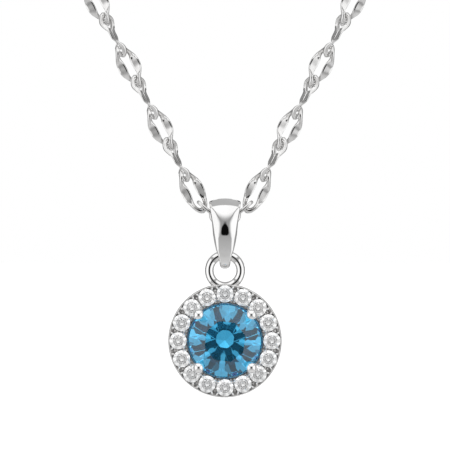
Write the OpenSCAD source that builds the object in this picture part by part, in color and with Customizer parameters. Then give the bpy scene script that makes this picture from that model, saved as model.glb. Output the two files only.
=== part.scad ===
// Pendant necklace: a round halo pendant on a tapered bail, hanging on a
// chain of flat links that closes with a spring ring clasp at the nape.
// Millimetres. +Z up, the pendant faces -Y, +X to the viewer's right.
// The origin is the middle of the neck that the chain lies round.

/* [Chain] */
// Length of one link, end to end
link_len = 4.6; // [4.4:0.05:4.8]
// Width of a link across its two petals
link_w = 2.16; // [2.0:0.02:2.3]
// Thickness of a link
link_t = 0.36; // [0.34:0.01:0.38]
// Distance from one link's centre to the next one's
link_pitch = 3.18; // [3.14:0.01:3.2]
// Metal left between a link's slot and its end
link_end = 0.62; // [0.58:0.01:0.64]
// Radius of a link's round end
link_end_r = 0.45; // [0.4:0.01:0.5]
// Half the width of a link's slot
slot_r = 0.31; // [0.3:0.01:0.32]
// Links on each side of the necklace, clasp to bail
links_per_side = 67; // [57:10:77]
// Lean of each chain leg from upright
leg_lean = 27; // [25:0.5:29]

/* [Bail] */
// Height of the bail
bail_h = 6.4; // [6.2:0.05:6.6]
// Depth of the bail's loop at its top, outside
bail_depth = 2.9; // [2.8:0.05:3.2]
// Wall of the bail's loop at its top
bail_wall = 0.45; // [0.35:0.05:0.5]
// Width of the bail at its shoulders
bail_w = 2.88; // [2.8:0.02:3.0]

/* [Pendant] */
// Outside diameter of the halo
halo_d = 10.27; // [10.2:0.01:10.4]
// Diameter of the centre stone
stone_d = 6.5; // [6.4:0.05:6.6]
// Diameter of one halo stone
halo_stone_d = 1.5; // [1.3:0.05:1.5]
// Number of halo stones
halo_stones = 16; // [16:1:16]
// Radius of the circle that the halo stones stand on
halo_pitch_r = 4.25; // [4.2:0.01:4.3]
// Height of the eye ring's centre above the pendant's
eye_rise = 6.36; // [6.3:0.02:6.4]
// Wire diameter of the eye ring
eye_wire_d = 0.78; // [0.7:0.01:0.8]

/* [Clasp] */
// Radius of the clasp ring, to the middle of its tube
clasp_r = 2.45; // [2.4:0.05:2.6]
// Outside diameter of the clasp's tube
clasp_tube_d = 1.1; // [1.0:0.05:1.2]

/* [Hidden] */
$fn = 48;
gap = 0.02;          // seating gap between pieces that are set together
spread = 360 / halo_stones;
link_rows = 9;       // rows of links per side, one sub-part each
leg_rows = 4;        // the rows that lie on a straight leg
leg_row_links = 8;   // links in one of them
first_s = 6.46;      // path distance from the corner of the V to link 1
slot_end = link_len / 2 - link_end;

// The clasp and its two rings lie in line between the two last links.
wire_r = 0.2;                    // jump ring wire
end_ring_r = 1.4;
tail_r = 0.65;
tail_wire_r = 0.22;
tail_overlap = 0.45;
tube_r = clasp_tube_d / 2;
bore_r = 0.36;
bolt_r = 0.33;
slack = 0.05;
ring_to_clasp = 2 * end_ring_r - wire_r - tube_r - slack + clasp_r;
clasp_to_tail = clasp_r + tube_r + tail_overlap;
tail_to_ring = tail_r - tail_wire_r - wire_r - slack;
nape_x = (ring_to_clasp + clasp_to_tail + tail_to_ring + 2 * end_ring_r) / 2;
clasp_x = nape_x - ring_to_clasp;
tail_x = clasp_x - clasp_to_tail;
jump_ring_x = tail_x - tail_to_ring - end_ring_r;
mouth = [20, 80];                // the clasp's open sector, counted from +X up to +Z
bolt_back = 150;                 // the bolt's inner end, counted the same way
knob_at = 93;
knob_r = 0.17;
knob_h = 1.1;
knob_slot = [85, 166];           // the slot that the knob runs in
slot_half_w = 0.22;
bolt_lap = 6;                    // how far the bolt's tip enters the clasp's open end
link_hold = slot_end - wire_r - slack;
chord_extra = 0.01;              // the arc at the nape is this much longer than its chord
clasp_half = nape_x + link_hold + chord_extra;   // path distance from the nape to the last link

// The path of the chain: up a leg from the V's corner, then round the neck.
leg_links = leg_rows * leg_row_links;
arc_row_links = (links_per_side - leg_links) / (link_rows - leg_rows);
half_path = first_s + (links_per_side - 1) * link_pitch + clasp_half;
neck_r = half_path / (1 / tan(leg_lean) + (90 + leg_lean) * PI / 180);
leg_len = neck_r / tan(leg_lean);
corner_z = -neck_r / sin(leg_lean);

function link_s(n) = first_s + (n - 1) * link_pitch;
function arc_angle(s) = (s - leg_len) / neck_r * 180 / PI - leg_lean;
function path_x(s) = s < leg_len ? s * sin(leg_lean) : neck_r * cos(arc_angle(s));
function path_z(s) = s < leg_len ? corner_z + s * cos(leg_lean) : neck_r * sin(arc_angle(s));
function path_lean(s) = s < leg_len ? leg_lean : -arc_angle(s);

// The centre of the V: a ring inside the bail and a short link on each side.
mid_wire_r = 0.18;
mid_end_r = 0.795;               // middle of the wire, at the ring's round ends
mid_half = 0.475;                // half of the ring's straight stretch
mid_z = corner_z + 3.572;
short_wire_r = 0.2;
short_end_r = 0.52;
short_top = [2.382, corner_z + 4.69];     // middle of the short link's upper end wire
short_low = [0.745, mid_z - 0.272];       // and of its lower one

// Heights of the bail and the pendant, from the V's corner.
bail_top = corner_z + 5.06;
bail_low = bail_top - bail_h;
eye_z = corner_z - 1.491;
eye_r = 1.43;
halo_z = eye_z - eye_rise;
bail_top_r = bail_depth / 2;
bail_low_r = 0.85;
bail_seat_r = 0.46;              // inside of the bail where the eye ring hangs
bail_seat_z = eye_z + eye_r - 0.11;

// Levels along Y, front (-) to back (+).
halo_front = -0.67;
halo_back = 0.78;
stone_clear = 0.1;               // between the centre stone and the halo
stone_y = -0.77;                 // the centre stone's girdle
stone_girdle = 0.14;
stone_crown = 1.02;
stone_pavilion = 2.7;
stone_table_r = 0.57 * stone_d / 2;
small_y = halo_front - 0.02;     // the halo stones' girdles
small_girdle = 0.06;
small_crown = 0.2;
small_pavilion = 0.62;
rail_y = 1.53;                   // the gallery rail behind the centre stone
rail_r = 2.6;
rail_w = 0.5;
prong_r = 0.25;
prong_top = [3.33, -1.32];       // radius and depth of a prong's wire at its tip
tip_r = 0.47;
tip_at = [3.35, -1.42];          // and of its ball
bead_r = 0.13;
bead_h = 0.22;
inner_bead_at = halo_pitch_r - 0.42;
outer_bead_at = halo_pitch_r + 0.5;
culet_r = 0.02;                  // the blunt tip of every stone
seat_hole_r = 0.3;               // the drilled hole behind a halo stone

// The clasp lies along the chord between the two last links.
nape_s = half_path - clasp_half;
nape_z = path_z(nape_s) + link_hold * cos(path_lean(nape_s));

module place_on_path(s, side) {
    translate([side * path_x(s), 0, path_z(s)]) rotate([0, side * path_lean(s), 0]) children();
}

// Puts what is drawn along Z so that it faces the front, at the pendant's centre.
module facing_front(y) {
    translate([0, y, halo_z]) rotate([90, 0, 0]) children();
}

// A ring of round wire in the XY plane: two half rings joined by straight wires.
module wire_loop(end_r, half, r) {
    for (turn = [0, 180]) rotate([0, 0, turn]) {
        translate([half, 0, 0]) rotate([0, 0, -90]) rotate_extrude(angle = 180)
            translate([end_r, 0]) circle(r);
        if (half > 0)
            translate([-half, end_r, 0]) rotate([0, 90, 0]) cylinder(h = 2 * half, r = r);
    }
}

// A bar along Z: two round sides on the Y axis and the web between their tangents.
module tapered_bar(r1, y1, r2, y2, length) {
    lean = asin((r1 - r2) / (y1 - y2));
    translate([0, y1, 0]) cylinder(h = length, r = r1);
    translate([0, y2, 0]) cylinder(h = length, r = r2);
    linear_extrude(length) polygon([for (p = [[1, r1, y1], [1, r2, y2], [-1, r2, y2], [-1, r1, y1]])
        [p[0] * p[1] * cos(lean), p[2] - p[1] * sin(lean)]]);
}

module link_outline() {
    tip_y = link_len / 2 - link_end_r;
    half_w = link_w / 2;
    side_r = (tip_y * tip_y + half_w * half_w - link_end_r * link_end_r)
        / (2 * (half_w - link_end_r));
    clip_y = tip_y + link_end_r * tip_y / (side_r - link_end_r);
    intersection() {
        translate([side_r - half_w, 0]) circle(side_r, $fn = 96);
        translate([half_w - side_r, 0]) circle(side_r, $fn = 96);
        square([link_w + 1, 2 * clip_y], center = true);
    }
    for (side = [-1, 1]) translate([0, side * tip_y]) circle(link_end_r);
}

// One link, long way along Z and flat towards Y.
module link() {
    slot_y = slot_end - slot_r;
    rotate([90, 0, 0]) translate([0, 0, -link_t / 2]) linear_extrude(link_t) difference() {
        link_outline();
        square([2 * slot_r, 2 * slot_y], center = true);
        for (side = [-1, 1]) translate([0, side * slot_y]) circle(slot_r);
    }
}

// A row of links; every second link is turned a quarter about the chain.
module links(side, row) {
    on_leg = row <= leg_rows;
    count = on_leg ? leg_row_links : arc_row_links;
    first = (on_leg ? (row - 1) * count : leg_links + (row - leg_rows - 1) * count) + 1;
    color("silver") for (n = [first : first + count - 1])
        place_on_path(link_s(n), side) rotate([0, 0, n % 2 == 1 ? 0 : 90]) link();
}

module short_link(side) {
    run = short_low - short_top;
    length = norm(run);
    middle = (short_low + short_top) / 2;
    color("silver") translate([side * middle[0], 0, middle[1]])
        rotate([0, side * atan2(run[0], run[1]), 0]) rotate([0, 90, 0])
            wire_loop(short_end_r, length / 2 - short_end_r, short_wire_r);
}

module centre_ring() {
    color("silver") translate([0, 0, mid_z]) rotate([90, 0, 0])
        wire_loop(mid_end_r, mid_half, mid_wire_r);
}

// Outline of the bail seen from the front: half widths down its height.
bail_edge = [[0.55, 0], [1.1, 0.12], [1.36, 0.28], [bail_w / 2, 0.5], [1.4, 0.75],
    [1.28, 1.5], [1.17, 2.3], [1.08, 3.3], [0.96, 4.0], [0.8, 4.7], [0.6, 5.15], [0.52, 5.5],
    [0.46, 6.1], [0.3, bail_h]];

module bail() {
    top_y = bail_top - bail_top_r;
    color("gainsboro") intersection() {
        translate([-bail_w, 0, 0]) rotate([90, 0, 90]) difference() {
            tapered_bar(bail_top_r, top_y, bail_low_r, bail_low + bail_low_r, 2 * bail_w);
            translate([0, 0, -1])
                tapered_bar(bail_top_r - bail_wall, top_y, bail_seat_r, bail_seat_z, 2 * bail_w + 2);
        }
        translate([0, bail_depth, 0]) rotate([90, 0, 0]) linear_extrude(2 * bail_depth)
            polygon(concat([for (p = bail_edge) [p[0], bail_top - p[1]]],
                [for (i = [len(bail_edge) - 1 : -1 : 0]) [-bail_edge[i][0], bail_top - bail_edge[i][1]]]));
    }
}

module eye_ring() {
    color("gainsboro") difference() {
        translate([0, 0, eye_z]) rotate([90, 0, 0]) rotate_extrude()
            translate([eye_r, 0]) circle(eye_wire_d / 2);
        facing_front(eye_wire_d) cylinder(h = 2 * eye_wire_d, d = halo_d, $fn = 96);
    }
}

// A round stone: table towards +Z, girdle on the XY plane.
module stone(r, table_r, girdle, crown, pavilion) {
    translate([0, 0, -girdle / 2]) cylinder(h = girdle, r = r);
    translate([0, 0, girdle / 2]) cylinder(h = crown, r1 = r, r2 = table_r);
    translate([0, 0, -girdle / 2 - pavilion]) cylinder(h = pavilion, r1 = culet_r, r2 = r);
}

module centre_stone_shape(extra) {
    facing_front(stone_y) stone(stone_d / 2 + extra, stone_table_r + extra, stone_girdle,
        stone_crown + extra, stone_pavilion + extra);
}

module at_halo_stone(i) {
    translate([0, 0, halo_z]) rotate([0, (i - 1) * spread, 0]) translate([0, small_y, halo_pitch_r])
        rotate([90, 0, 0]) children();
}

module centre_stone() {
    color("deepskyblue") centre_stone_shape(0);
}

module halo_stone(i) {
    color("white") at_halo_stone(i) stone(halo_stone_d / 2, 0.55 * halo_stone_d / 2,
        small_girdle, small_crown, small_pavilion);
}

module prong_wire(extra) {
    reach = [prong_top[0] - rail_r, rail_y + rail_w - prong_top[1]];
    for (turn = [45:90:315]) translate([0, 0, halo_z]) rotate([0, turn, 0])
        translate([0, prong_top[1], prong_top[0]]) rotate([-90 - atan2(reach[0], reach[1]), 0, 0])
            cylinder(h = norm(reach), r = prong_r + extra);
}

// The wide ring that holds the halo stones, drilled for each of them.
module halo_frame() {
    inner_r = stone_d / 2 + stone_clear;
    depth = halo_back - halo_front;
    seat_r = halo_stone_d / 2 + gap;
    color("silver") difference() {
        facing_front(halo_back) cylinder(h = depth, d = halo_d, $fn = 96);
        facing_front(halo_back + 1) cylinder(h = depth + 2, r = inner_r, $fn = 96);
        for (i = [1:halo_stones]) at_halo_stone(i) {
            translate([0, 0, -small_girdle / 2]) cylinder(h = 1, r = seat_r);
            translate([0, 0, -small_girdle / 2 - small_pavilion])
                cylinder(h = small_pavilion, r1 = culet_r + gap, r2 = seat_r);
            translate([0, 0, -2]) cylinder(h = 2, r = seat_hole_r);
        }
        prong_wire(gap);
    }
}

// Two drops of metal in each gap between the halo stones, drawn as short round pegs.
module halo_beads() {
    color("silver") for (i = [1:halo_stones], r = [inner_bead_at, outer_bead_at])
        translate([0, 0, halo_z]) rotate([0, (i - 0.5) * spread, 0])
            translate([0, halo_front, r]) rotate([90, 0, 0]) cylinder(h = bead_h, r = bead_r, $fn = 16);
}

module gallery_rail() {
    color("silver") difference() {
        facing_front(rail_y + rail_w) rotate_extrude()
            translate([rail_r - rail_w / 2, 0]) square(rail_w);
        prong_wire(0);
    }
}

module centre_prongs() {
    color("gainsboro") difference() {
        union() {
            prong_wire(0);
            for (turn = [45:90:315]) translate([0, 0, halo_z]) rotate([0, turn, 0])
                translate([0, tip_at[1], tip_at[0]]) sphere(tip_r);
        }
        centre_stone_shape(gap);
        facing_front(rail_y + rail_w + 2) cylinder(h = 2, r = halo_d);
    }
}

module turned_ring(x) {
    color("silver") translate([x, 0, nape_z]) rotate_extrude() translate([end_ring_r, 0]) circle(wire_r);
}

// A sector of the clasp, swept from angle a to angle b, counted from +X up to +Z.
module clasp_sector(a, b) {
    translate([clasp_x, 0, nape_z]) rotate([90, 0, 0]) rotate([0, 0, a])
        rotate_extrude(angle = b - a) children();
}

module clasp_ring() {
    color("gainsboro") {
        difference() {
            union() {
                clasp_sector(mouth[1], mouth[0] + 360) translate([clasp_r, 0]) circle(tube_r);
                translate([tail_x, 0, nape_z]) rotate([90, 0, 0]) rotate_extrude()
                    translate([tail_r, 0]) circle(tail_wire_r);
            }
            clasp_sector(mouth[1] - 1, mouth[0] + 361) translate([clasp_r, 0]) circle(bore_r);
            clasp_sector(knob_slot[0], knob_slot[1]) translate([clasp_r, -slot_half_w])
                square([1, 2 * slot_half_w]);
        }
    }
}

// The bolt that closes the clasp's mouth, with the knob that draws it back.
module clasp_bolt() {
    color("gainsboro") {
        clasp_sector(mouth[0] - bolt_lap, bolt_back) translate([clasp_r, 0]) circle(bolt_r);
        translate([clasp_x, 0, nape_z]) rotate([0, -knob_at, 0]) translate([clasp_r, 0, 0])
            rotate([0, 90, 0]) cylinder(h = knob_h, r = knob_r);
    }
}

for (i = [1:link_rows]) links(-1, i);
for (i = [1:link_rows]) links(1, i);
short_link(-1);  // left_short_link
short_link(1);  // right_short_link
centre_ring();
bail();
eye_ring();
halo_frame();
halo_beads();
gallery_rail();
centre_prongs();
centre_stone();
for (i = [1:halo_stones]) halo_stone(i);
turned_ring(jump_ring_x);  // jump_ring
turned_ring(nape_x - end_ring_r);  // end_ring
clasp_ring();
clasp_bolt();
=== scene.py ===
"""Halo pendant on a chain of flat-petalled links, seen hanging. Sizes below are in millimetres."""

import math

import bmesh
import bpy
from mathutils import Matrix, Vector


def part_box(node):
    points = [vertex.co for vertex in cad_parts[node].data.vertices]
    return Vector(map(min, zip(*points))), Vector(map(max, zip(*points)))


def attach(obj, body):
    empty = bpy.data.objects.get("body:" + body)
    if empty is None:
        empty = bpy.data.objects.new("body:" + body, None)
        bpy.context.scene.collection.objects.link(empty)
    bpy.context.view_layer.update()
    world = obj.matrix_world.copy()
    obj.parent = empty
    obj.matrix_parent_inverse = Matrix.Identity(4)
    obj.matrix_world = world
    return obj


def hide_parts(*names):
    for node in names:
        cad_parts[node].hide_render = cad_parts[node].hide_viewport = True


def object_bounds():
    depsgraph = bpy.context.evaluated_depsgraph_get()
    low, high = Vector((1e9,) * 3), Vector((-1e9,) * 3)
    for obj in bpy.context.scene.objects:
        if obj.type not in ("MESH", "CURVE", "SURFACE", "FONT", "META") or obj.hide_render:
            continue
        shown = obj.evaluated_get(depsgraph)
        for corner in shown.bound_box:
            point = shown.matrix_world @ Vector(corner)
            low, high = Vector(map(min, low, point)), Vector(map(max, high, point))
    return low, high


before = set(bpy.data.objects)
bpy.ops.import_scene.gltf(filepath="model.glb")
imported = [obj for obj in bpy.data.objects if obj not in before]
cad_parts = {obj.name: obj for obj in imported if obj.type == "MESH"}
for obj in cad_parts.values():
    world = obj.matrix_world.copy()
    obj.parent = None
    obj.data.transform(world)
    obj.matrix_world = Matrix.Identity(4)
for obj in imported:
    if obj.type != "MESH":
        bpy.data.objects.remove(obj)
cad_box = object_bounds()

MM = 0.001
scene = bpy.context.scene


def cad(node):
    """The CAD node's lowest and highest corner, in millimetres."""
    low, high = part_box(node)
    return Vector(low) / MM, Vector(high) / MM


def middle(node):
    low, high = cad(node)
    return (low + high) / 2


# ---- the path of the chain: two straight legs, then round the neck -------------------------
LEAN = math.radians(27)
HALF_PATH = 223.22               # from the corner of the V to the nape
NECK_R = HALF_PATH / (1 / math.tan(LEAN) + math.pi / 2 + LEAN)
LEG = NECK_R / math.tan(LEAN)
CORNER_Z = -NECK_R / math.sin(LEAN)
FIRST_LINK = 6.46                # how far along the path the first link's middle is
PITCH = 3.18                     # from one link's middle to the next
LEG_ROWS, LEG_ROW, ARC_ROW = 4, 8, 7          # rows on a leg, and links in a row of each kind
ROW_BODY = ["leg_bottom", "leg_lower", "leg_middle", "leg_upper"] + ["neck_chain"] * 5


def on_path(s, side):
    """Where the chain is, s along it from the corner, as a placing matrix with Z along the chain."""
    if s < LEG:
        x, z, lean = s * math.sin(LEAN), CORNER_Z + s * math.cos(LEAN), LEAN
    else:
        turned = (s - LEG) / NECK_R - LEAN
        x, z, lean = NECK_R * math.cos(turned), NECK_R * math.sin(turned), -turned
    return Matrix.Translation((side * x, 0, z)) @ Matrix.Rotation(side * lean, 4, "Y")


# ---- small tools for the bench --------------------------------------------------------------
def smooth(low, high, x):
    t = min(1.0, max(0.0, (x - low) / (high - low)))
    return t * t * (3 - 2 * t)


def along(stations, t):
    """A smooth curve through evenly spaced stations, each a tuple, for t from 0 to 1."""
    place = min(max(t, 0.0), 1.0) * (len(stations) - 1)
    i = min(int(place), len(stations) - 2)
    f = place - i
    before = stations[i - 1] if i else [2 * p - q for p, q in zip(stations[0], stations[1])]
    a, b = stations[i], stations[i + 1]
    after = stations[i + 2] if i + 2 < len(stations) else [2 * p - q for p, q in zip(b, a)]
    return [0.5 * (2 * p1 + (p2 - p0) * f + (2 * p0 - 5 * p1 + 4 * p2 - p3) * f * f
                   + (3 * p1 - p0 - 3 * p2 + p3) * f ** 3)
            for p0, p1, p2, p3 in zip(before, a, b, after)]


def table(rows, x):
    """A value read off rows of (x, value), straight between them."""
    for (x0, v0), (x1, v1) in zip(rows, rows[1:]):
        if x <= x1:
            return v0 + (v1 - v0) * max(0.0, x - x0) / (x1 - x0)
    return rows[-1][1]


def spun_ring(around, sides):
    """A ring of radius 1 about Y, whose section is a small circle, ready to be shaped."""
    bm = bmesh.new()
    bmesh.ops.create_circle(bm, cap_ends=False, segments=sides, radius=SECTION)
    bmesh.ops.translate(bm, verts=bm.verts, vec=(1, 0, 0))
    bmesh.ops.spin(bm, geom=bm.verts[:] + bm.edges[:], cent=(0, 0, 0), axis=(0, 1, 0),
                   angle=math.tau, steps=around, use_merge=True)
    bmesh.ops.remove_doubles(bm, verts=bm.verts, dist=1e-4)
    return bm


SECTION = 0.1


def shape_ring(bm, shape):
    """Moves each point of a spun ring: shape(angle, out, across) gives its new place."""
    for v in bm.verts:
        out = (math.hypot(v.co.x, v.co.z) - 1) / SECTION
        v.co = Vector(shape(math.atan2(v.co.z, v.co.x), out, v.co.y / SECTION))
    bmesh.ops.recalc_face_normals(bm, faces=bm.faces)
    return bm


def crisp(bm, degrees):
    """Smooth shading with the edges sharper than this kept crisp."""
    for face in bm.faces:
        face.smooth = True
    for edge in bm.edges:
        edge.smooth = edge.calc_face_angle(0.0) < math.radians(degrees)


def as_mesh(bm, name):
    mesh = bpy.data.meshes.new(name)
    bm.to_mesh(mesh)
    bm.free()
    return mesh


def add_copy(bm, mesh, matrix):
    before = len(bm.verts)
    bm.from_mesh(mesh)
    bm.verts.ensure_lookup_table()
    bmesh.ops.transform(bm, matrix=matrix, verts=bm.verts[before:])


def piece(name, bm, finish, body, slot, *nodes):
    """Makes the finished piece from a bmesh in millimetres, hangs it on its body and hides the CAD
    nodes that it replaces.
    """
    bmesh.ops.scale(bm, vec=(MM, MM, MM), verts=bm.verts)
    made = bpy.data.objects.new(name, as_mesh(bm, name))
    scene.collection.objects.link(made)
    made.data.materials.append(finish)
    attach(made, body)
    if nodes:
        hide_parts(*nodes)
    return made


# ---- camera, floor and studio light ----------------------------------------------------------
LENS, SENSOR = 200.0, 36.0
VIEW_W, VIEW_Z = 40.9, CORNER_Z + 2.645       # width of the view and the height it is aimed at

camera = bpy.data.objects.new("camera", bpy.data.cameras.new("camera"))
scene.collection.objects.link(camera)
camera.data.lens = LENS
camera.data.sensor_width = SENSOR
camera.data.clip_start = 0.01
camera.data.clip_end = 20
camera.location = Vector((0, -VIEW_W * LENS / SENSOR, VIEW_Z)) * MM
camera.rotation_euler = (math.pi / 2, 0, 0)
scene.camera = camera
scene.view_settings.view_transform = "Standard"
scene.cycles.max_bounces = 20
scene.cycles.glossy_bounces = 16
scene.cycles.transmission_bounces = 20


class Bench:
    """Adds nodes to a tree and joins them in one line each."""

    def __init__(self, tree):
        self.tree = tree

    def add(self, kind, **values):
        node = self.tree.nodes.new(kind)
        for name, value in values.items():
            setattr(node, name, value)
        return node

    def feed(self, socket, value):
        if isinstance(value, bpy.types.NodeSocket):
            self.tree.links.new(value, socket)
        else:
            socket.default_value = value

    def maths(self, operation, a, b=0.0, c=0.0):
        node = self.add("ShaderNodeMath", operation=operation)
        for socket, value in zip(node.inputs, (a, b, c)):
            self.feed(socket, value)
        return node.outputs[0]

    def step(self, low, high, value):
        """0 below low, 1 above high, smooth between them."""
        node = self.add("ShaderNodeMapRange", interpolation_type="SMOOTHSTEP")
        node.inputs["From Min"].default_value = low
        node.inputs["From Max"].default_value = high
        self.feed(node.inputs["Value"], value)
        return node.outputs[0]

    def mix(self, amount, a, b):
        node = self.add("ShaderNodeMix", data_type="RGBA")
        for socket, value in zip((0, 6, 7), (amount, a, b)):     # the sockets that colours use
            self.feed(node.inputs[socket], value)
        return node.outputs[2]

    def noise(self, scale, detail, place):
        node = self.add("ShaderNodeTexNoise")
        node.inputs["Scale"].default_value = scale
        node.inputs["Detail"].default_value = detail
        self.feed(node.inputs["Vector"], place)
        return node.outputs[0]


def grey(v, warm=0.0):
    return (v + warm, v, v - warm, 1)


TOP_BOX, SIDE_BOX, DARK_PLACE = 1.12, 1.1, 0.004
TENT, TENT_TOP, TENT_DARK = 1.0, 1.5, 0.07


def studio():
    """Soft boxes above and on both sides, a dark place where the camera stands, a grey surround."""
    world = bpy.data.worlds.new("studio")
    scene.world = world
    world.use_nodes = True
    b = Bench(world.node_tree)
    ground = world.node_tree.nodes["Background"]
    coords = b.add("ShaderNodeTexCoord")
    axes = b.add("ShaderNodeSeparateXYZ")
    b.feed(axes.inputs[0], coords.outputs["Generated"])
    x, y, z = axes.outputs
    beside = b.maths("ABSOLUTE", x)
    front, below = b.maths("MULTIPLY", y, -1), b.maths("MULTIPLY", z, -1)
    # The surround is mid grey, a little darker behind, and lighter above and below.
    light = b.mix(b.step(-0.5, 0.9, y), grey(0.34), grey(0.27))
    light = b.mix(b.step(0.2, 0.9, z), light, grey(0.5))
    light = b.mix(b.step(0.1, 0.5, below), light, grey(0.44))
    light = b.mix(b.step(0.4, 0.9, below), light, grey(0.72))
    # Each box has straight sides that meet the next box, and fades towards the back.
    top = b.maths("MINIMUM", b.maths("SUBTRACT", z, beside), b.maths("SUBTRACT", 0.22, y))
    fade = b.step(0.0, 0.33, b.maths("MULTIPLY_ADD", y, 0.28, z))
    light = b.mix(b.maths("MULTIPLY", b.step(0.0, 0.1, top), fade), light, grey(TOP_BOX))
    side = b.maths("MINIMUM", b.maths("MULTIPLY_ADD", b.maths("ABSOLUTE", z), -1.15, beside),
                   b.maths("SUBTRACT", 0.06, y))
    fade = b.step(0.0, 0.33, b.maths("MULTIPLY_ADD", y, 0.3, beside))
    light = b.mix(b.maths("MULTIPLY", b.step(0.0, 0.12, side), fade), light, grey(SIDE_BOX))
    # The stones see the same boxes through a bright tent, in which the dark place is smaller.
    tent = b.mix(0.4, light, grey(TENT))
    tent = b.mix(b.step(0.15, 0.6, z), tent, grey(TENT_TOP))
    tent = b.mix(b.step(0.962, 0.974, front), tent, grey(TENT_DARK))
    light = b.mix(b.step(0.95, 0.968, front), light, grey(DARK_PLACE))
    rays = b.add("ShaderNodeLightPath").outputs
    light = b.mix(rays["Is Transmission Ray"], light, tent)
    b.feed(ground.inputs["Color"], b.mix(rays["Is Camera Ray"], light, grey(1.0)))
    ground.inputs["Strength"].default_value = 1.0


studio()


FLOOR_SIZE, FLOOR_BELOW = 3, 0.035            # metres


def pale_floor():
    bm = bmesh.new()
    bmesh.ops.create_grid(bm, x_segments=1, y_segments=1, size=FLOOR_SIZE)
    bmesh.ops.translate(bm, verts=bm.verts, vec=(0, 0, cad_box[0][2] - FLOOR_BELOW))
    floor = bpy.data.objects.new("floor", as_mesh(bm, "floor"))
    scene.collection.objects.link(floor)
    paint = bpy.data.materials.new("pale_floor")
    paint.use_nodes = True
    shader = paint.node_tree.nodes["Principled BSDF"]
    shader.inputs["Base Color"].default_value = grey(0.9)
    shader.inputs["Roughness"].default_value = 0.9
    shader.inputs["Specular IOR Level"].default_value = 0.1
    shader.inputs["Emission Color"].default_value = grey(1.0)
    shader.inputs["Emission Strength"].default_value = 0.45
    floor.data.materials.append(paint)
    floor.visible_glossy = False
    floor.visible_transmission = False


pale_floor()


# ---- finishes ---------------------------------------------------------------------------------
MARKS, MARK_DEPTH = 26000, 0.00001             # how fine the wheel marks are, and how deep


def silver(name, tint, dull, rough_low, rough_high, grain, scratch):
    """Polished white metal: faint clouding, a roughness that wanders a little, fine wheel marks."""
    metal = bpy.data.materials.new(name)
    metal.use_nodes = True
    b = Bench(metal.node_tree)
    shader = metal.node_tree.nodes["Principled BSDF"]
    shader.inputs["Metallic"].default_value = 1.0
    place = b.add("ShaderNodeTexCoord").outputs["Object"]
    cloud = b.noise(grain, 4, place)
    b.feed(shader.inputs["Base Color"], b.mix(b.step(0.35, 0.7, cloud), dull, tint))
    rough = b.add("ShaderNodeMapRange")
    rough.inputs["From Min"].default_value = 0.3
    rough.inputs["From Max"].default_value = 0.7
    rough.inputs["To Min"].default_value = rough_high
    rough.inputs["To Max"].default_value = rough_low
    b.feed(rough.inputs["Value"], cloud)
    b.feed(shader.inputs["Roughness"], rough.outputs[0])
    # The wheel marks are long one way.
    drawn = b.add("ShaderNodeMapping")
    drawn.inputs["Scale"].default_value = (1.0, 1.0, 0.12)
    drawn.inputs["Rotation"].default_value = (0.3, 0.5, 0.2)
    b.feed(drawn.inputs["Vector"], place)
    relief = b.add("ShaderNodeBump")
    relief.inputs["Strength"].default_value = scratch
    relief.inputs["Distance"].default_value = MARK_DEPTH
    b.feed(relief.inputs["Height"], b.noise(MARKS, 3, drawn.outputs[0]))
    b.feed(shader.inputs["Normal"], relief.outputs[0])
    return metal


ZONES = 420                      # how fine the zoning in a stone is


def gem(name, deep, pale, ior, absorbed, density):
    """Cut stone: clear inside, with its colour from the depth of stone and a faint zoning."""
    stone = bpy.data.materials.new(name)
    stone.use_nodes = True
    b = Bench(stone.node_tree)
    shader = stone.node_tree.nodes["Principled BSDF"]
    shader.inputs["Transmission Weight"].default_value = 1.0
    shader.inputs["Roughness"].default_value = 0.0
    shader.inputs["IOR"].default_value = ior
    place = b.add("ShaderNodeTexCoord").outputs["Object"]
    zones = b.noise(ZONES, 2, place)
    b.feed(shader.inputs["Base Color"], b.mix(b.step(0.3, 0.7, zones), deep, pale))
    if density:
        soak = b.add("ShaderNodeVolumeAbsorption")
        soak.inputs["Color"].default_value = absorbed
        soak.inputs["Density"].default_value = density
        out = stone.node_tree.nodes["Material Output"]
        stone.node_tree.links.new(soak.outputs[0], out.inputs["Volume"])
    return stone


LINK_SILVER = silver("link_silver", grey(0.86, 0.004), grey(0.74, 0.006), 0.09, 0.2, 1500, 0.14)
BRIGHT_SILVER = silver("bright_silver", grey(0.93, 0.002), grey(0.87, 0.004), 0.03, 0.07, 700, 0.03)
SETTING_SILVER = silver("setting_silver", grey(0.84, 0.004), grey(0.66, 0.006), 0.2, 0.36, 2600, 0.3)
BLUE_STONE = gem("blue_stone", (0.50, 0.92, 1.0, 1), (0.70, 0.98, 1.0, 1), 1.77,
                 (0.01, 0.71, 0.94, 1), 232)
CLEAR_STONE = gem("clear_stone", (0.95, 0.96, 0.97, 1), (1.0, 1.0, 1.0, 1), 2.3, None, 0)


# ---- the chain ----------------------------------------------------------------------------------
# From the middle of a link to its tip: the wire's middle (x, z) and its width.
LINK_STATIONS = [(0.680, 0.00, 0.80), (0.676, 0.26, 0.78), (0.664, 0.52, 0.69), (0.652, 0.78, 0.56),
                 (0.624, 1.02, 0.45), (0.580, 1.26, 0.40), (0.505, 1.50, 0.38), (0.380, 1.73, 0.40),
                 (0.200, 1.92, 0.48), (0.000, 1.99, 0.58)]
LINK_WIRE = 0.42                 # thickness of the round wire
PETAL_THICK = 0.20               # and where it is pressed flat
PETAL_UP, PETAL_DOWN, PETAL_WIDE = 0.62, 1.25, 0.41
LINK_TWIST = math.radians(54)
TWIST_REACH = 1.7                # how far from the middle the twist is complete
END_TURN = math.radians(12.5)    # turns a straight end back square to the ring that it meets


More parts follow.
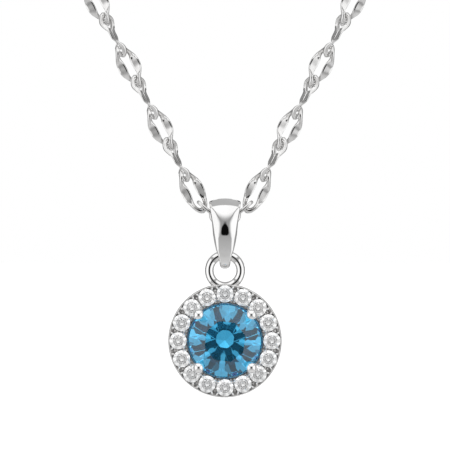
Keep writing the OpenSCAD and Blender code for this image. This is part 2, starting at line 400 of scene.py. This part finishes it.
def petal_link(around, sides, hand, straight=0):
    """One link, long way along Z: round wire pressed into two flat pointed petals, ends twisted.

    straight is 1 or -1 for the upper or lower end when that one isn't twisted."""
    def shape(angle, out, across):
        side, end = math.copysign(1, math.cos(angle)), math.copysign(1, math.sin(angle))
        t = math.atan2(abs(math.sin(angle)), abs(math.cos(angle))) / (math.pi / 2)
        x, z, width = along(LINK_STATIONS, t)
        before, after = along(LINK_STATIONS, t - 0.01), along(LINK_STATIONS, t + 0.01)
        if t > 0.99:                 # level across the tip
            before, after = (0.01, z, 0), (-0.01, z, 0)
        run = Vector((after[0] - before[0], after[1] - before[1])).normalized()
        x, z = x + run.y * out * width / 2, z - run.x * out * width / 2
        # The press leaves a lens with sharp ends in the front and back of the wire.
        round_y = LINK_WIRE / 2 * across
        q = abs(out) * width / 2
        long, point = (PETAL_UP, 7) if end > 0 else (PETAL_DOWN, 1.5)
        lens = PETAL_WIDE * (1 - min(max(z, 0) / long, 1) ** point)
        pressed = smooth(0.03, -0.015, q - lens)
        flat_y = max(-PETAL_THICK / 2, min(PETAL_THICK / 2, round_y))
        y = round_y + (flat_y - round_y) * pressed
        x, z = side * x, end * z
        twisted = smooth(0.0, TWIST_REACH, abs(z))
        turn = hand * (END_TURN * twisted if end == straight else LINK_TWIST * end * twisted ** 1.7)
        return (x * math.cos(turn) - y * math.sin(turn), x * math.sin(turn) + y * math.cos(turn), z)

    bm = shape_ring(spun_ring(around, sides), shape)
    crisp(bm, 38)
    return as_mesh(bm, "link")


# Every kind is made in both hands, and the hands take turns along the chain.
FINE, PLAIN = (96, 20), (24, 8)  # steps round the link and round its wire
FINE_LINKS = [petal_link(*FINE, hand) for hand in (1, -1)]
PLAIN_LINKS = [petal_link(*PLAIN, hand) for hand in (1, -1)]
FIRST_LINKS = [petal_link(*FINE, hand, straight=-1) for hand in (1, -1)]
LAST_LINKS = [petal_link(*PLAIN, hand, straight=1) for hand in (1, -1)]
LINKS_A_SIDE = LEG_ROWS * LEG_ROW + (len(ROW_BODY) - LEG_ROWS) * ARC_ROW
MEET_RINGS = {0: FIRST_LINKS, LINKS_A_SIDE - 1: LAST_LINKS}
LINK_SET = {-1: math.radians(11), 1: math.radians(14)}     # each side's turn about the chain

for row, body in enumerate(ROW_BODY, 1):
    on_leg = row <= LEG_ROWS
    count = LEG_ROW if on_leg else ARC_ROW
    first = (row - 1) * count if on_leg else LEG_ROWS * LEG_ROW + (row - LEG_ROWS - 1) * count
    for side, word in ((-1, "left"), (1, "right")):
        bm = bmesh.new()
        for n in range(first, first + count):
            face_on = n % 2 == 0
            kind = MEET_RINGS.get(n, FINE_LINKS if row == 1 else PLAIN_LINKS)
            mesh = kind[(0 if face_on else 1) ^ (side > 0)]
            turn = side * LINK_SET[side] + (0 if face_on else math.pi / 2)
            add_copy(bm, mesh, on_path(FIRST_LINK + n * PITCH, side) @ Matrix.Rotation(turn, 4, "Z"))
        piece(f"{word}_chain_row_{row}", bm, LINK_SILVER, body, "link_silver", f"{word}_links_{row}")


def wire_ring(end_r, half, wire_r, around=56, sides=16):
    """A ring of round wire in the XZ plane, drawn out along X by a straight stretch."""
    def shape(angle, out, across):
        c, s = math.cos(angle), math.sin(angle)
        reach = end_r + out * wire_r
        return (reach * c + half * math.tanh(3 * c), across * wire_r, reach * s)

    bm = shape_ring(spun_ring(around, sides), shape)
    crisp(bm, 60)
    return as_mesh(bm, "ring")


# The short rings run from the ring in the bail up to the first links.
SHORT_END_R, SHORT_HALF, SHORT_WIRE = 0.485, 0.6285, 0.16
SHORT_RISE, SHORT_RUN = 1.637, 1.39
SHORT_LEAN = math.atan2(SHORT_RISE, SHORT_RUN) - math.pi / 2
for word, side in (("left", -1), ("right", 1)):
    bm = bmesh.new()
    add_copy(bm, wire_ring(SHORT_END_R, SHORT_HALF, SHORT_WIRE),
             Matrix.Translation(middle(f"{word}_short_link"))
             @ Matrix.Rotation(side * SHORT_LEAN, 4, "Y") @ Matrix.Rotation(math.pi / 2, 4, "X"))
    piece(f"{word}_short_ring", bm, LINK_SILVER, "centre_links", "link_silver", f"{word}_short_link")

CENTRE_END_R, CENTRE_HALF, CENTRE_WIRE = 0.795, 0.475, 0.18
bm = bmesh.new()
add_copy(bm, wire_ring(CENTRE_END_R, CENTRE_HALF, CENTRE_WIRE),
         Matrix.Translation(middle("centre_ring")))
piece("bail_ring", bm, LINK_SILVER, "centre_links", "link_silver", "centre_ring")


# ---- the bail -------------------------------------------------------------------------------------
# Down its front from the top: distance forward and distance below the top, to the outside.
BAIL_STATIONS = [(0.0, 0.0), (0.34, 0.22), (0.66, 0.46), (0.96, 0.70), (1.14, 1.12), (1.29, 1.62),
                 (1.39, 2.15), (1.45, 2.70), (1.43, 3.24), (1.33, 3.80), (1.18, 4.38), (1.00, 4.96),
                 (0.80, 5.52), (0.52, 6.06), (0.0, 6.40)]
BAIL_HALF_WIDTH = [(0, 1.43), (0.5, 1.44), (0.75, 1.40), (1.5, 1.28), (2.3, 1.17), (3.3, 1.08),
                   (4.0, 0.96), (4.7, 0.80), (5.15, 0.63), (5.5, 0.53), (6.1, 0.46), (6.4, 0.42)]
BAIL_WALL = [(0, 0.36), (0.6, 0.29), (4.5, 0.30), (5.4, 0.34), (5.8, 0.48), (6.1, 0.60), (6.4, 0.69)]
BAIL_DOME = [(0, 0.26), (1.0, 0.28), (2.2, 0.44), (3.2, 0.44), (4.0, 0.40), (5.2, 0.14), (6.4, 0.10)]
BAIL_ROUND = [(0, 0.7), (0.6, 0.6), (1.1, 0.2), (2.2, 0.62), (2.9, 0.5), (3.5, 0.15), (6.4, 0.15)]
BAIL_EDGE = 0.07                 # the strip's least thickness, at its edges


def bail():
    """A domed strip folded over into a loop that narrows down to the eye ring."""
    top = cad("bail")[1].z

    def shape(angle, out, across):
        front = -1 if math.cos(angle) > 0 else 1
        t = (math.pi / 2 - math.asin(max(-1, min(1, math.sin(angle))))) / math.pi
        y, depth = along(BAIL_STATIONS, t)
        before, after = along(BAIL_STATIONS, t - 0.004), along(BAIL_STATIONS, t + 0.004)
        if t < 0.002 or t > 0.998:   # level over the top and the bottom
            run = Vector((1, 0)) if t < 0.5 else Vector((-1, 0))
        else:
            run = Vector((after[0] - before[0], after[1] - before[1])).normalized()
        wall, dome, evenly = (table(rows, depth) for rows in (BAIL_WALL, BAIL_DOME, BAIL_ROUND))
        drop = dome * (evenly * across ** 2 + (1 - evenly) * across ** 6)
        inside, through = max(wall, drop + BAIL_EDGE), 0.5 + 0.5 * math.copysign(abs(out) ** 0.6, out)
        offset = -drop * through - inside * (1 - through)
        y, depth = y + run.y * offset, depth - run.x * offset
        return (across * table(BAIL_HALF_WIDTH, depth), front * y, top - depth)

    bm = shape_ring(spun_ring(140, 32), shape)
    crisp(bm, 50)
    piece("bail_loop", bm, BRIGHT_SILVER, "bail", "polished_silver", "bail")


bail()


# ---- the pendant ----------------------------------------------------------------------------------
HALO_Z = middle("centre_stone").z
HALO_STONES = 16
GAP_ANGLE = math.tau / HALO_STONES
EYE_R, EYE_WIRE = 1.43, 0.39
EYE_TOP = cad("eye_ring")[1].z
bm = bmesh.new()
add_copy(bm, wire_ring(EYE_R, 0, EYE_WIRE, 80, 24),
         Matrix.Translation((0, 0, EYE_TOP - EYE_R - EYE_WIRE)))
piece("eye", bm, BRIGHT_SILVER, "pendant", "polished_silver", "eye_ring")


def to_front(y, angle=0.0, radius=0.0):
    """Placing on the pendant: Z drawn becomes forward, and Y drawn points out from the middle."""
    return (Matrix.Translation((0, 0, HALO_Z)) @ Matrix.Rotation(angle, 4, "Y")
            @ Matrix.Translation((0, y, radius)) @ Matrix.Rotation(math.pi / 2, 4, "X"))


HALF_AT, HALF_STEEPER, STAR_FLATTER = 0.994, math.radians(5.2), math.radians(13)


def brilliant(r, girdle, crown, depth, table_r, crown_lean, pavilion_lean, lower_lean, sides):
    """A round brilliant, table up, its girdle's middle at the origin, cut facet by facet."""
    bm = bmesh.new()
    bmesh.ops.create_cone(bm, cap_ends=True, segments=sides, radius1=r, radius2=r,
                          depth=2 * depth + girdle)

    def cut(radius, height, turn, lean, way):
        """One facet: through the point at this radius and height, leaning from level."""
        c, s = math.cos(turn), math.sin(turn)
        normal = Vector((math.sin(lean) * c, math.sin(lean) * s, way * math.cos(lean)))
        made = bmesh.ops.bisect_plane(bm, geom=bm.verts[:] + bm.edges[:] + bm.faces[:], dist=1e-5,
                                      plane_co=(radius * c, radius * s, height), plane_no=normal,
                                      clear_outer=True)
        rim = [e for e in made["geom_cut"] if isinstance(e, bmesh.types.BMEdge)]
        if len(rim) > 2:
            bmesh.ops.edgeloop_fill(bm, edges=rim)

    eighth = math.tau / 8
    cut(0, girdle / 2 + crown, 0, 0, 1)
    for k in range(8):
        cut(r, girdle / 2, k * eighth, crown_lean, 1)
        cut(r, -girdle / 2, k * eighth, pavilion_lean, -1)
    for k in range(16):
        turn = (k + 0.5) * eighth / 2
        cut(r * HALF_AT, girdle / 2, turn, crown_lean + HALF_STEEPER, 1)
        cut(r * HALF_AT, -girdle / 2, turn, lower_lean, -1)
    for k in range(8):
        cut(table_r * math.cos(eighth / 2), girdle / 2 + crown, (k + 0.5) * eighth,
            crown_lean - STAR_FLATTER, 1)
    bmesh.ops.remove_doubles(bm, verts=bm.verts, dist=r * 1e-3)
    bmesh.ops.recalc_face_normals(bm, faces=bm.faces)
    return as_mesh(bm, "brilliant")


STONE_R, STONE_GIRDLE, STONE_CROWN, STONE_TABLE, STONE_Y = 3.25, 0.12, 1.02, 1.9, -0.77
STONE_TURN = math.radians(16)
bm = bmesh.new()
add_copy(bm, brilliant(STONE_R, STONE_GIRDLE, STONE_CROWN, 3.0, STONE_TABLE, math.radians(36.5),
                       math.radians(41.5), math.radians(42.35), 64),
         to_front(STONE_Y) @ Matrix.Rotation(STONE_TURN, 4, "Z"))
piece("blue_brilliant", bm, BLUE_STONE, "pendant", "blue_stone", "centre_stone")

PITCH_R, SMALL_R, SMALL_Y = 4.25, 0.77, -0.69
SMALL_TURN = 0.37                # each small stone is turned this much more than the last
SMALL = brilliant(SMALL_R, 0.05, 0.2, 0.8, 0.45, math.radians(32), math.radians(42.3),
                  math.radians(43.6), 32)
for i in range(HALO_STONES):
    bm = bmesh.new()
    add_copy(bm, SMALL, to_front(SMALL_Y, i * GAP_ANGLE, PITCH_R)
             @ Matrix.Rotation(SMALL_TURN * i, 4, "Z"))
    piece(f"clear_brilliant_{i + 1}", bm, CLEAR_STONE, "pendant", "clear_stone", f"halo_stone_{i + 1}")

FRAME_IN, FRAME_OUT = 3.36, 5.135
LEDGE_IN = 3.08                  # the ledge under the centre stone's edge
FRAME_FRONT, FRAME_BACK = -0.67, 0.78
SEAT_R, SEAT_HOLE = 0.79, 0.3
BACK = FRAME_FRONT - FRAME_BACK
# Down the seat and through its hole to the back: radius and height.
SEAT_ROUND = [(SEAT_R, 0), (SEAT_R - 0.02, -0.05), (0.62, -0.22), (SEAT_HOLE, -0.62), (SEAT_HOLE, BACK)]
# Out over the back and up the sides to the front: inner radius, outer radius and height.
BAND_ROUND = [(LEDGE_IN + 0.06, FRAME_OUT - 0.08, BACK), (LEDGE_IN, FRAME_OUT, BACK + 0.08),
              (LEDGE_IN, FRAME_OUT, -0.52), (LEDGE_IN + 0.04, FRAME_OUT - 0.035, -0.47),
              (FRAME_IN - 0.03, FRAME_OUT - 0.035, -0.41), (FRAME_IN, FRAME_OUT, -0.36),
              (FRAME_IN, FRAME_OUT, -0.12), (FRAME_IN + 0.02, FRAME_OUT - 0.03, -0.05),
              (FRAME_IN + 0.07, FRAME_OUT - 0.10, 0.0)]
SECTOR_STEPS = 48
PIT, INNER_PIT = 0.36, 0.2       # depth of the pits between the seats


def frame_sector():
    """A sixteenth of the halo, flat in the XY plane with its front up: one seat and its metal."""
    half = GAP_ANGLE / 2

    def ring_of(place, height):
        made = bmesh.ops.create_circle(bm, cap_ends=False, segments=SECTOR_STEPS,
                                        radius=1)["verts"]
        for v in made:
            v.co = Vector((*place(v.co.x, v.co.y), height))
        return made

    def edges_of(verts):
        held = set(verts)
        return [e for e in bm.edges if e.verts[0] in held and e.verts[1] in held]

    def slice_at(r_in, r_out):
        def place(x, y):
            m = max(abs(x), abs(y))
            x, y = x / m, y / m
            r = (r_in + r_out) / 2 + y * (r_out - r_in) / 2
            return r * math.sin(x * half), r * math.cos(x * half)
        return place

    def hole_at(radius):
        return lambda x, y: (radius * x, PITCH_R + radius * y)

    bm = bmesh.new()
    loops = [ring_of(hole_at(radius), height) for radius, height in SEAT_ROUND]
    loops += [ring_of(slice_at(r_in, r_out), height) for r_in, r_out, height in BAND_ROUND]
    for a, b in zip(loops, loops[1:]):
        bmesh.ops.bridge_loops(bm, edges=edges_of(a) + edges_of(b))
    front = bmesh.ops.bridge_loops(bm, edges=edges_of(loops[-1]) + edges_of(loops[0]))
    rungs = [e for f in front["faces"] for e in f.edges
             if len({v in set(loops[0]) for v in e.verts}) == 2]
    bmesh.ops.subdivide_edges(bm, edges=list(set(rungs)), cuts=5)

    def on_side(face):
        return all(abs(abs(math.atan2(v.co.x, v.co.y)) - half) < 1e-4 for v in face.verts)
    bmesh.ops.delete(bm, geom=[f for f in bm.faces if on_side(f)], context="FACES")
    # Pits between the seats, with the grains of metal left standing at their ends.
    for v in bm.verts:
        if v.co.z > -0.01:
            r, turn = v.co.xy.length, abs(math.atan2(v.co.x, v.co.y))
            gap = (half - turn) * r
            outer = smooth(4.40, 4.62, r) * smooth(5.02, 4.88, r) * smooth(0.24, 0.10, gap)
            inner = smooth(3.56, 3.64, r) * smooth(4.05, 3.84, r) * smooth(0.16, 0.06, gap)
            v.co.z -= PIT * outer + INNER_PIT * inner
    return as_mesh(bm, "sector")


def halo_frame():
    bm = bmesh.new()
    sector = frame_sector()
    for i in range(HALO_STONES):
        add_copy(bm, sector, to_front(FRAME_FRONT) @ Matrix.Rotation(-i * GAP_ANGLE, 4, "Z"))
    bmesh.ops.remove_doubles(bm, verts=bm.verts, dist=2e-4)
    bmesh.ops.recalc_face_normals(bm, faces=bm.faces)
    crisp(bm, 34)
    piece("halo_band", bm, SETTING_SILVER, "pendant", "setting_silver", "halo_frame")


halo_frame()


# Radius, half the angle between a pair, half-length and half-width; then how far a drop stands out.
DROPS = ((4.84, 0.050, 0.19, 0.10), (3.80, 0.038, 0.16, 0.10))
DROP_OUT, DROP_DEEP, DROP_LEAN = 0.12, 0.19, 0.5


def grains():
    """Four drops of metal in each gap: two by the rim and two by the centre stone."""
    drop = bmesh.new()
    bmesh.ops.create_icosphere(drop, subdivisions=2, radius=1)
    crisp(drop, 60)
    drop = as_mesh(drop, "drop")
    bm = bmesh.new()
    for i in range(HALO_STONES):
        for way in (-1, 1):
            turn = (i + 0.5) * GAP_ANGLE
            for radius, off, long, wide in DROPS:
                lean = DROP_LEAN if radius > PITCH_R else -DROP_LEAN
                add_copy(bm, drop, to_front(FRAME_FRONT - DROP_OUT, turn + way * off, radius)
                         @ Matrix.Rotation(way * lean, 4, "Z")
                         @ Matrix.Diagonal((wide, long, DROP_DEEP, 1)))
    piece("halo_grains", bm, BRIGHT_SILVER, "pendant", "setting_silver", "halo_beads")


grains()

TIP_R, TIP_OUT, TIP_Y = 0.5, 3.37, -1.42
FOOT_OUT, FOOT_Y, PRONG_R = 2.6, 2.03, 0.25
PRONG_STEPS = ((1.2, 1.0), (1.2, 1.0), (0.7, 1.02), (0.32, 1.05))     # rise and swell


def prongs():
    """Four wires that rise from the rail and end in balls over the stone's edge."""
    bm = bmesh.new()
    for k in range(4):
        one = bmesh.new()
        bmesh.ops.create_circle(one, cap_ends=True, segments=24, radius=PRONG_R)
        ring = one.faces[:]
        for step, swell in PRONG_STEPS:
            ring = [f for f in bmesh.ops.extrude_face_region(one, geom=ring)["geom"]
                    if isinstance(f, bmesh.types.BMFace)]
            verts = list({v for f in ring for v in f.verts})
            bmesh.ops.translate(one, verts=verts, vec=(0, 0, step))
            bmesh.ops.scale(one, verts=verts, vec=(swell, swell, 1))
        # Only the caps at the two ends stay.
        bmesh.ops.delete(one, geom=[f for f in one.faces if len(f.verts) > 4
                                    and 0.1 < f.calc_center_median().z < 3.4], context="FACES_ONLY")
        bmesh.ops.recalc_face_normals(one, faces=one.faces)
        crisp(one, 60)
        lean = math.atan2(TIP_OUT - FOOT_OUT, FOOT_Y - TIP_Y)
        stem = as_mesh(one, "stem")
        turn = math.radians(45 + 90 * k)
        add_copy(bm, stem, to_front(FOOT_Y, turn, FOOT_OUT) @ Matrix.Rotation(-lean, 4, "X"))
        ball = bmesh.new()
        bmesh.ops.create_uvsphere(ball, u_segments=32, v_segments=20, radius=TIP_R)
        crisp(ball, 60)
        add_copy(bm, as_mesh(ball, "ball"), to_front(TIP_Y, turn, TIP_OUT)
                 @ Matrix.Diagonal((1, 1, 0.96, 1)))
    piece("ball_prongs", bm, BRIGHT_SILVER, "pendant", "polished_silver", "centre_prongs")


prongs()


RAIL_R, RAIL_Y, RAIL_HALF, RAIL_EASE = 2.6, 1.78, 0.25, 0.08


def rail():
    """The square ring behind the stone, its edges eased."""
    bm = bmesh.new()
    bmesh.ops.create_grid(bm, x_segments=1, y_segments=1, size=RAIL_HALF)
    bmesh.ops.bevel(bm, geom=bm.verts[:], offset=RAIL_EASE, offset_type="OFFSET", segments=3,
                    profile=0.5, affect="VERTICES", material=-1)
    bmesh.ops.delete(bm, geom=bm.faces[:], context="FACES_ONLY")
    bmesh.ops.translate(bm, verts=bm.verts, vec=(RAIL_R, RAIL_Y, 0))
    bmesh.ops.spin(bm, geom=bm.verts[:] + bm.edges[:], cent=(0, 0, 0), axis=(0, 1, 0),
                   angle=math.tau, steps=72, use_merge=True)
    bmesh.ops.remove_doubles(bm, verts=bm.verts, dist=1e-4)
    bmesh.ops.translate(bm, verts=bm.verts, vec=(0, 0, HALO_Z))
    bmesh.ops.recalc_face_normals(bm, faces=bm.faces)
    crisp(bm, 40)
    piece("rail", bm, SETTING_SILVER, "pendant", "setting_silver", "gallery_rail")


rail()


# ---- the clasp --------------------------------------------------------------------------------------
for node, finish in (("clasp_ring", BRIGHT_SILVER), ("clasp_bolt", BRIGHT_SILVER),
                     ("jump_ring", LINK_SILVER), ("end_ring", LINK_SILVER)):
    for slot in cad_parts[node].material_slots:
        slot.material = finish
